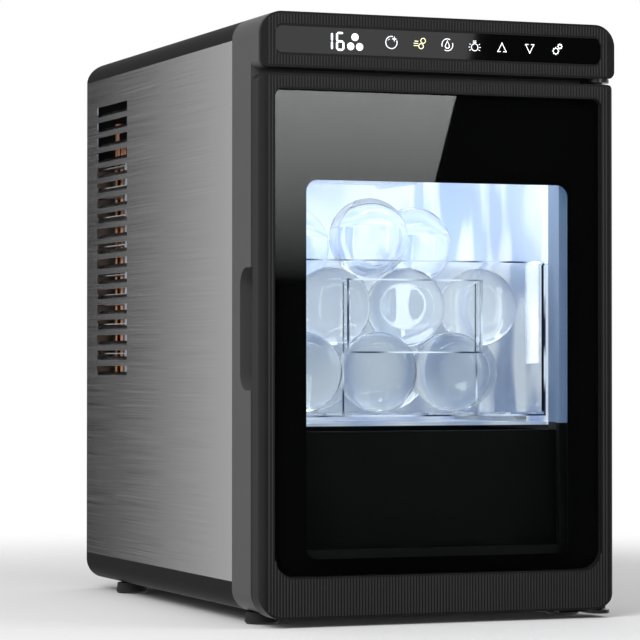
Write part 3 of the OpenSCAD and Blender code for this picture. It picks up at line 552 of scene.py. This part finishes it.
# %% Rib shape
def rib_maker(spans, face_y):
    half = RIB_PITCH * RIB_WIDTH / 2
    profile = [(-half * math.cos(math.radians(a)), -RIB_PROUD * math.sin(math.radians(a)))
               for a in range(0, 181, 45)]

    def build(shape):
        for x, low, high in spans:
            if high - low < RIB_PITCH:
                continue
            bottom = [shape.verts.new((x + px, face_y + py, low)) for px, py in profile]
            top = [shape.verts.new((x + px, face_y + py, high)) for px, py in profile]
            for i in range(len(profile)):
                j = (i + 1) % len(profile)
                shape.faces.new((bottom[i], bottom[j], top[j], top[i]))
            shape.faces.new(bottom)
            shape.faces.new(top)
    return build


print("rib maker ready")

# %% [markdown]
# ## Placing the ribs
# The boxes of the solids give the outlines between which the ribs run. The crests are level with the
# front of the machine, so the face behind them is sunk by the height of a rib: a copy of the solid,
# with only its front corners moved back, takes the solid's place.

# %% Place the ribs
door_low, door_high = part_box("door_frame")
glass_low, glass_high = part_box("door_glass")
fascia_low, fascia_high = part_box("control_fascia")
strip_low, strip_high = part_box("touch_strip")
front_y = door_low[1]
DOOR_RADII = (16 * MM, 6 * MM)
GLASS_RADII = (14 * MM, 5 * MM)
HEAD_RADII = (5 * MM, 15 * MM)
STRIP_RADII = (5 * MM, 5 * MM)


def rib_edges(low, high):
    """Half width, lower and upper edge of a box, as rib_spans takes them."""
    return high[0], low[2], high[2]


door_spans = list(rib_spans(rib_edges(door_low, door_high), rib_edges(glass_low, glass_high),
                            DOOR_RADII, GLASS_RADII))
head_spans = list(rib_spans(rib_edges(fascia_low, fascia_high), rib_edges(strip_low, strip_high),
                            HEAD_RADII, STRIP_RADII))


def sunk_copy(name, node, body):
    """A copy of a solid whose front face lies one rib deeper, and which stands in for the solid."""
    solid = nodes[node]
    copy = bpy.data.objects.new(name, solid.data.copy())
    for vert in copy.data.vertices:
        vert.co.y = max(vert.co.y, front_y + RIB_PROUD)
    scene.collection.objects.link(copy)
    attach(copy, body)
    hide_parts(node)
    print(name, "faces:", len(copy.data.polygons))


sunk_copy("sunk_door_frame", "door_frame", "door")
sunk_copy("sunk_fascia", "control_fascia", "cabinet")
# The ribs wear the lighter finish, a painted highlight.
make_piece("door_ribs", rib_maker(door_spans, front_y + RIB_PROUD), rib_painted_highlight, "door")
make_piece("head_ribs", rib_maker(head_spans, front_y + RIB_PROUD), rib_painted_highlight, "cabinet")

# %% [markdown]
# ## The marks on the touch strip
# Behind the black glass small lamps light a number and a row of plain signs: a sphere, speed
# lines, a drop, a lamp, two arrows and a pair of gears. Here they are wafers a hair in front of the
# glass, because the glass is solid black in this scene and would hide them. They are drawn with
# rings, strokes and filled outlines, each around its own middle.

# %% Drawing helpers
MARK_LIFT = 0.06 * MM
mark_y = strip_low[1] - MARK_LIFT
strip_mid = (strip_low[2] + strip_high[2]) / 2


class Marks:
    """Collects thin wafers on the strip, in millimetres from a middle point."""

    def __init__(self, shape, x, z):
        self.shape = shape
        self.x = x
        self.z = z

    def fill(self, points):
        flat = [((self.x + u) * MM, strip_mid + (self.z + v) * MM) for u, v in points]
        front = [self.shape.verts.new((x, mark_y, z)) for x, z in flat]
        back = [self.shape.verts.new((x, mark_y + MARK_LIFT, z)) for x, z in flat]
        self.shape.faces.new(front)
        self.shape.faces.new(back)
        for i in range(len(flat)):
            j = (i + 1) % len(flat)
            self.shape.faces.new((front[i], front[j], back[j], back[i]))

    def ring(self, u, v, radius, width, start=0, stop=360, steps=40):
        inner, outer = radius - width / 2, radius + width / 2
        angles = [math.radians(start + (stop - start) * i / steps) for i in range(steps + 1)]
        for a, b in zip(angles, angles[1:]):
            corners = ((inner, a), (outer, a), (outer, b), (inner, b))
            self.fill([(u + reach * math.cos(turn), v + reach * math.sin(turn)) for reach, turn in corners])

    def disc(self, u, v, radius, steps=32):
        self.fill([(u + radius * math.cos(i * math.tau / steps), v + radius * math.sin(i * math.tau / steps))
                   for i in range(steps)])

    def stroke(self, points, width):
        for (u0, v0), (u1, v1) in zip(points, points[1:]):
            length = math.hypot(u1 - u0, v1 - v0)
            du, dv = (u1 - u0) / length * width / 2, (v1 - v0) / length * width / 2
            self.fill([(u0 - du - dv, v0 - dv + du), (u0 - du + dv, v0 - dv - du),
                       (u1 + du + dv, v1 + dv - du), (u1 + du - dv, v1 + dv + du)])

    def bar(self, u, v, length, width, upright):
        """One segment of a digit: a bar with pointed ends."""
        a, b = length / 2, width / 2
        outline = [(-a, 0), (-a + b, b), (a - b, b), (a, 0), (a - b, -b), (-a + b, -b)]
        self.fill([(u + q, v + p) if upright else (u + p, v + q) for p, q in outline])


print("touch strip middle:", round(strip_mid, 4))

# %% [markdown]
# ## Drawing the signs
# Every sign is a few lines with those helpers, in millimetres. The number has seven bars to a digit,
# as a lamp display has. Letters from a font would be quicker, but they would not look like lit bars.

# %% The number and the spheres
LINE = 0.5
SEGMENT = (5.4, 1.4)
DIGIT = (4.6, 5.6)
FLAT_SHARE = 0.82


def digit(marks, u, segments):
    """A seven-segment digit. Segments are named a to g, clockwise from the top, with g in the middle."""
    w, h = DIGIT
    places = {"a": (0, h, False), "b": (w / 2, h / 2, True), "c": (w / 2, -h / 2, True), "d": (0, -h, False),
              "e": (-w / 2, -h / 2, True), "f": (-w / 2, h / 2, True), "g": (0, 0, False)}
    for name in segments:
        du, dv, upright = places[name]
        length = SEGMENT[0] if upright else SEGMENT[0] * FLAT_SHARE
        marks.bar(u + du, dv, length, SEGMENT[1], upright)


def count_sign(shape):
    marks = Marks(shape, -75.0, -0.2)
    digit(marks, -6.6, "bc")
    digit(marks, 1.6, "acdefg")


def pile_sign(shape):
    marks = Marks(shape, -62.8, -0.2)
    for u, v in ((0, 3.2), (-3.1, -3.0), (3.3, -3.2)):
        marks.disc(u, v, 2.55)


print("digit width and half height in mm:", DIGIT)

# %% [markdown]
# ## The round signs
# A sphere with a glint, two small rings with speed lines, a drop in a broken ring, and a lamp with
# rays. A ring that starts and stops at an angle draws most of them.

# %% The round signs
def sphere_sign(shape):
    marks = Marks(shape, -36.5, 0.5)
    marks.ring(0, 0, 4.1, LINE, 75, 380)
    marks.ring(0, 0, 2.7, LINE * 0.6, 115, 150, 8)
    marks.fill([(2.1, 4.4), (2.5, 2.9), (4.0, 2.4), (2.5, 1.9),
                (2.1, 0.4), (1.7, 1.9), (0.2, 2.4), (1.7, 2.9)])


def speed_sign(shape):
    marks = Marks(shape, -15.8, 0.5)
    for v, start in ((1.6, -3.6), (0.1, -4.2), (-1.4, -4.2)):
        marks.stroke([(start, v), (-1.4, v)], LINE)
    marks.ring(2.4, 2.0, 1.7, LINE)
    marks.ring(0.9, -1.7, 1.7, LINE)


def drop_sign(shape):
    marks = Marks(shape, 4.4, 0.5)
    marks.ring(0, 0, 4.0, LINE, 60, 200)
    marks.ring(0, 0, 4.0, LINE, 240, 380)
    outline = [(0, 2.6)] + [(1.5 * math.cos(math.radians(a)), -0.9 + 1.5 * math.sin(math.radians(a)))
                            for a in range(20, -201, -20)] + [(0, 2.6)]
    marks.stroke(outline, LINE * 0.8)


def lamp_sign(shape):
    marks = Marks(shape, 24.6, -0.4)
    marks.ring(0, 0, 2.4, LINE)
    marks.stroke([(-1.0, 3.4), (1.0, 3.4)], LINE)
    marks.stroke([(-1.0, 4.3), (1.0, 4.3)], LINE * 0.8)
    for a in (-30, 0, 30, 150, 180, 210):
        c, s = math.cos(math.radians(a)), math.sin(math.radians(a))
        marks.stroke([(3.5 * c, 3.5 * s), (4.3 * c, 4.3 * s)], LINE * 0.8)


print("round signs ready")

# %% [markdown]
# ## Arrows, gears and the whole row
# One helper draws both arrows, since the second is the first turned over. A gear is a ring with short
# strokes for teeth. Each sign then becomes one piece, so that it can be lit or left dark by itself.

# %% Arrows, gears and the whole row
def arrow_sign(x, up):
    def build(shape):
        marks = Marks(shape, x, 0.2)
        s = 1 if up else -1
        foot, tip = -2.8 * s, 3.0 * s
        marks.stroke([(-1.2, foot), (-3.1, foot), (0, tip), (3.1, foot), (1.2, foot)], LINE)
    return build


TEETH = 8
TOOTH = 0.65


def gear_sign(shape):
    marks = Marks(shape, 86.6, 0.4)
    for u, v, radius in ((-1.2, -1.1, 1.9), (1.9, 2.2, 1.25)):
        marks.ring(u, v, radius, LINE)
        tip = radius + TOOTH
        for i in range(TEETH):
            c, s = math.cos(i * math.tau / TEETH), math.sin(i * math.tau / TEETH)
            marks.stroke([(u + radius * c, v + radius * s), (u + tip * c, v + tip * s)], LINE * 0.8)


SIGNS = {"count_mark": (count_sign, white_light), "pile_mark": (pile_sign, white_light),
         "sphere_mark": (sphere_sign, white_light), "speed_mark": (speed_sign, yellow_light),
         "drop_mark": (drop_sign, white_light), "lamp_mark": (lamp_sign, white_light),
         "up_mark": (arrow_sign(44.9, True), white_light),
         "down_mark": (arrow_sign(65.7, False), white_light),
         "gear_mark": (gear_sign, white_light)}
for sign, (maker, light) in SIGNS.items():
    make_piece(sign, maker, light, "cabinet", smooth=False)

# %% [markdown]
# ## Finding the spheres
# The solids hold the ice as one mesh of loose balls, as they lie in the basket. Each ball is found by
# walking along its edges, and its middle and size are measured. Typing the places in would be
# shorter, but they would be wrong as soon as the solids change.

# %% Find the spheres
def loose_parts(mesh):
    """The middle and radius of each separate ball in a mesh."""
    shape = bmesh.new()
    shape.from_mesh(mesh)
    bmesh.ops.remove_doubles(shape, verts=shape.verts, dist=0.00001)
    seen = set()
    for first in shape.verts:
        if first.index in seen:
            continue
        seen.add(first.index)
        group = [first]
        for vert in group:
            for edge in vert.link_edges:
                other = edge.other_vert(vert)
                if other.index not in seen:
                    seen.add(other.index)
                    group.append(other)
        low = Vector([min(v.co[k] for v in group) for k in range(3)])
        high = Vector([max(v.co[k] for v in group) for k in range(3)])
        yield (low + high) / 2, (high - low)[2] / 2
    shape.free()


ice_balls = list(loose_parts(nodes["ice_spheres"].data))
print("spheres:", len(ice_balls), "radius:", round(ice_balls[0][1], 4))

# %% [markdown]
# ## Ice
# Each sphere gets a fresh, finer ball in the same place, with the faint seam that a two-part mould
# leaves, and a surface that has begun to melt unevenly. A bump alone would be lighter, but clear ice
# shows its shape by the way it bends what is behind it, so the shape itself changes.

# %% Ice spheres
ICE_STEPS = 5
MELT = 0.16 * MM
SEAM = 0.108 * MM
SEAM_WIDTH = 0.7 * MM


def ice_maker(balls):
    def build(shape):
        for number, (middle, radius) in enumerate(balls):
            made = bmesh.ops.create_icosphere(shape, subdivisions=ICE_STEPS, radius=radius - MELT)
            tilt = Vector((math.sin(number * 2.4), math.cos(number * 1.7), 0.8)).normalized()
            for vert in made["verts"]:
                away = vert.co.normalized()
                melt = noise.noise(away * 2.5 + Vector((number * 3.1, 0, 0))) * MELT
                seam = SEAM * math.exp(-((vert.co.dot(tilt) / SEAM_WIDTH) ** 2))
                vert.co = middle + vert.co + away * (melt - seam)
    return build


ice = make_piece("clear_ice_spheres", ice_maker(ice_balls), clear_ice, "basket")
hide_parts("ice_spheres")

# %% [markdown]
# ## The edges of the basket
# Clear plastic shows itself by its edges, where the light is bent away and the wall turns dark or
# bright. Here that is painted light: slim square beads follow the rim, the front corners and the
# frame of the finger pull, and a noise along them swings between a painted deep blue shade and a
# glowing painted white highlight. Bent rays alone would show such edges only in a much larger picture.

# %% Basket beads
BEAD = 1.1 * MM


def painted_edge_light():
    recipe = Recipe("painted_edge_light")
    # Painted light: a deep blue shade that swings to a glowing white highlight along the beads.
    shade_to_highlight = recipe.ramp(recipe.noise(28.0, 1.0), 0.42, 0.58)
    return recipe.surface({
        "Base Color": recipe.tint(shade_to_highlight, (0.02, 0.04, 0.10), (0.80, 0.86, 0.95)),
        "Roughness": 0.08 + shade_to_highlight * 0.05,
        "Emission Color": recipe.tint(shade_to_highlight, (0.01, 0.02, 0.05), (0.55, 0.62, 0.75)),
        "Emission Strength": 0.7,
    })


def bead_maker(bars):
    def build(shape):
        for start, stop in bars:
            low = Vector([min(a, b) - BEAD / 2 for a, b in zip(start, stop)])
            high = Vector([max(a, b) + BEAD / 2 for a, b in zip(start, stop)])
            made = bmesh.ops.create_cube(shape, size=1.0)
            for vert in made["verts"]:
                vert.co = (low + high) / 2 + Vector([c * s for c, s in zip(vert.co, high - low)])
    return build


def frame_bars(x0, x1, y, z0, z1):
    """Four bars round an upright rectangle."""
    return [((x0, y, z0), (x1, y, z0)), ((x0, y, z1), (x1, y, z1)),
            ((x0, y, z0), (x0, y, z1)), ((x1, y, z0), (x1, y, z1))]


basket_low, basket_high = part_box("ice_basket")
PULL_HALF, PULL_LOW, PULL_HIGH = 0.0499, 0.1826, 0.2324
FRONT_WALL_Y = -0.1424
inset = BEAD / 2 + 0.05 * MM
pull_y = basket_low[1] + inset
rim_z = basket_high[2] - inset
side_x = basket_high[0] - inset
bars = frame_bars(-PULL_HALF, PULL_HALF, pull_y, PULL_LOW, PULL_HIGH)
foot_z = basket_low[2] + inset
bars += frame_bars(-side_x, side_x, FRONT_WALL_Y, foot_z, rim_z)
bars += [((x, FRONT_WALL_Y, foot_z), (x, FRONT_WALL_Y, PULL_LOW)) for x in (-PULL_HALF, PULL_HALF)]
make_piece("painted_basket_edges", bead_maker(bars), painted_edge_light(), "basket", smooth=False)

# %% [markdown]
# ## A white studio
# The picture has a white ground. The world is white to the camera, in mirrors and through glass, and
# a softer grey as a light, so that the machine isn't washed out. White walls would do the same with
# more objects, and they would stand in the way of the lights.

# %% World
WORLD_FILL = 0.62


def seen_rays(recipe):
    """1 for rays from the camera, from mirrors and through glass, else 0."""
    camera_ray = recipe.node("ShaderNodeLightPath", out="Is Camera Ray")
    mirror_ray = recipe.node("ShaderNodeLightPath", out="Is Glossy Ray")
    glass_ray = recipe.node("ShaderNodeLightPath", out="Is Transmission Ray")
    return (camera_ray + mirror_ray + glass_ray).above(0.5)


class WorldRecipe(Recipe):
    """The same helper on the world's own nodes."""

    def __init__(self, world):
        self.material = world
        self.tree = world.node_tree
        self.tree.nodes.clear()
        self.output = self.tree.nodes.new("ShaderNodeOutputWorld")


world = bpy.data.worlds.new("studio")
world.use_nodes = True
scene.world = world
sky = WorldRecipe(world)
sky_strength = WORLD_FILL + seen_rays(sky) * (1 - WORLD_FILL)
sky.finish(sky.node("ShaderNodeBackground", {}, {"Color": (1, 1, 1, 1), "Strength": sky_strength}))
print("world fill:", WORLD_FILL)

# %% [markdown]
# ## The floor
# The floor carries the shadow. It is a pale square that fades out in a circle, so that it shows no
# edge. A shadow catcher has no edge either, but it leaves the ground of the picture empty.

# %% Floor
FLOOR_HALF = 1.0
FLOOR_FADE = (0.42, 0.95)


def floor_finish():
    recipe = Recipe("pale_floor")
    place = recipe.node("ShaderNodeTexCoord", out="Object")
    reach = recipe.node("ShaderNodeVectorMath", {"operation": "LENGTH"}, {0: place}, out="Value")
    near, far = FLOOR_FADE
    fade = recipe.node("ShaderNodeMapRange", {"interpolation_type": "SMOOTHSTEP"},
                       {"Value": reach, "From Min": near, "From Max": far, "To Min": 1.0, "To Max": 0.0})
    paint = recipe.node("ShaderNodeBsdfDiffuse", {}, {"Color": (0.88, 0.88, 0.885, 1)})
    nothing = recipe.node("ShaderNodeBsdfTransparent")
    return recipe.finish(recipe.node("ShaderNodeMixShader", {}, {0: fade, 1: nothing, 2: paint}))


def stage_plane(name, corners, material):
    mesh = bpy.data.meshes.new(name)
    mesh.from_pydata(corners, [], [range(len(corners))])
    plane = bpy.data.objects.new(name, mesh)
    scene.collection.objects.link(plane)
    dress(plane, material)
    return plane


floor = stage_plane("floor", [(-FLOOR_HALF, -FLOOR_HALF, 0), (FLOOR_HALF, -FLOOR_HALF, 0),
                              (FLOOR_HALF, FLOOR_HALF, 0), (-FLOOR_HALF, FLOOR_HALF, 0)], floor_finish())
floor.visible_glossy = False
print("floor fades between", FLOOR_FADE, "m")

# %% [markdown]
# ## Cards for the mirrors
# Black glass looks black because it reflects something black. The bright slanted patch on the door's
# glass mirrors something bright in the room, and the side panel turns from light to dark along its
# length. Black cards and cards with a fading glow give all three, as flags and softboxes do in a
# studio. They are seen in mirrors only. A lamp would be a simpler way, but it would also brighten
# the machine.

# %% Reflection cards
def card_finish(name, low, high, axis, strength):
    """A card that fades from black to light along one axis."""
    recipe = Recipe(name)
    level = recipe.ramp(recipe.place(axis), low, high) * strength
    return recipe.finish(recipe.node("ShaderNodeEmission", {}, {"Color": (1, 1, 1, 1), "Strength": level}))


def mirror_card(name, corners, material):
    card = stage_plane(name, corners, material)
    card.visible_camera = False
    card.visible_diffuse = False
    card.visible_shadow = False
    card.visible_transmission = False
    card.visible_volume_scatter = False


FLAG_Y = -0.92
FLAG_Z = -0.02
FLAG_LEFT, FLAG_RIGHT = -0.25, 2.2
GLINT_Y = -0.90
SIDE_X = -0.5
mirror_card("front_flag", [(FLAG_LEFT, FLAG_Y, -0.6), (FLAG_RIGHT, FLAG_Y, -0.6),
                           (FLAG_RIGHT, FLAG_Y, 2.0), (FLAG_LEFT, FLAG_Y, 2.0)],
            card_finish("flag_black", 0, 1, "Z", 0.0))
mirror_card("floor_flag", [(FLAG_LEFT, FLAG_Y, FLAG_Z), (FLAG_RIGHT, FLAG_Y, FLAG_Z),
                           (FLAG_RIGHT, -0.2, FLAG_Z), (FLAG_LEFT, -0.2, FLAG_Z)],
            card_finish("floor_black", 0, 1, "Z", 0.0))
mirror_card("front_glint", [(0.08, GLINT_Y, 0.22), (0.27, GLINT_Y, 0.22),
                            (0.352, GLINT_Y, 0.52), (0.08, GLINT_Y, 0.52)],
            card_finish("glint_fade", 0.25, 0.45, "Z", 6.4))
mirror_card("side_gradient", [(SIDE_X, -0.4, -1.0), (SIDE_X, 4.0, -1.0),
                              (SIDE_X, 4.0, 2.5), (SIDE_X, -0.4, 2.5)],
            card_finish("side_fade", 1.26, 0.78, "Y", 0.85))
print("reflection cards made")

# %% [markdown]
# ## Lights
# A big softbox stands at the front left and a weaker one at the right, as for a product picture.
# A strip of light inside the bay does what the machine's own lamp does. Three more weak strips, which
# the camera doesn't see, light the ice from the front and from both sides, so that its edges show.

# %% Lamps
def softbox(name, place, target, size, watts, colour=(1, 1, 1)):
    data = bpy.data.lights.new(name, "AREA")
    data.shape = "RECTANGLE"
    data.size, data.size_y = size
    data.energy = watts
    data.color = colour
    light = bpy.data.objects.new(name, data)
    light.location = place
    light.rotation_euler = (Vector(target) - Vector(place)).to_track_quat("-Z", "Y").to_euler()
    scene.collection.objects.link(light)
    return light


key = softbox("key", (-1.5, -1.1, 1.5), (0, 0, 0.2), (1.2, 1.2), 26)
fill = softbox("fill", (1.6, -1.3, 1.1), (0, 0, 0.2), (1.0, 1.0), 9)
for studio_light in (key, fill):
    studio_light.visible_glossy = False

lens_low, lens_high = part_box("lamp_lens")
lens_mid = [(a + b) / 2 for a, b in zip(lens_low, lens_high)]
COOL_WHITE = (0.90, 0.94, 1.0)
softbox("bay_lamp", (lens_mid[0], lens_mid[1], lens_low[2] - 2 * MM), (lens_mid[0], lens_mid[1] + 0.03, 0),
        (0.12, 0.012), 0.07, COOL_WHITE)
bay_fill = softbox("bay_fill", (0, -0.165, 0.325), (0, -0.03, 0.20), (0.18, 0.02), 0.08, COOL_WHITE)
bay_fill.visible_camera = False
for spark, x in (("left_spark", -0.095), ("right_spark", 0.095)):
    strip = softbox(spark, (x, -0.146, 0.24), (x * 0.2, -0.08, 0.24), (0.010, 0.13), 0.035)
    strip.visible_camera = False
print("lights made")
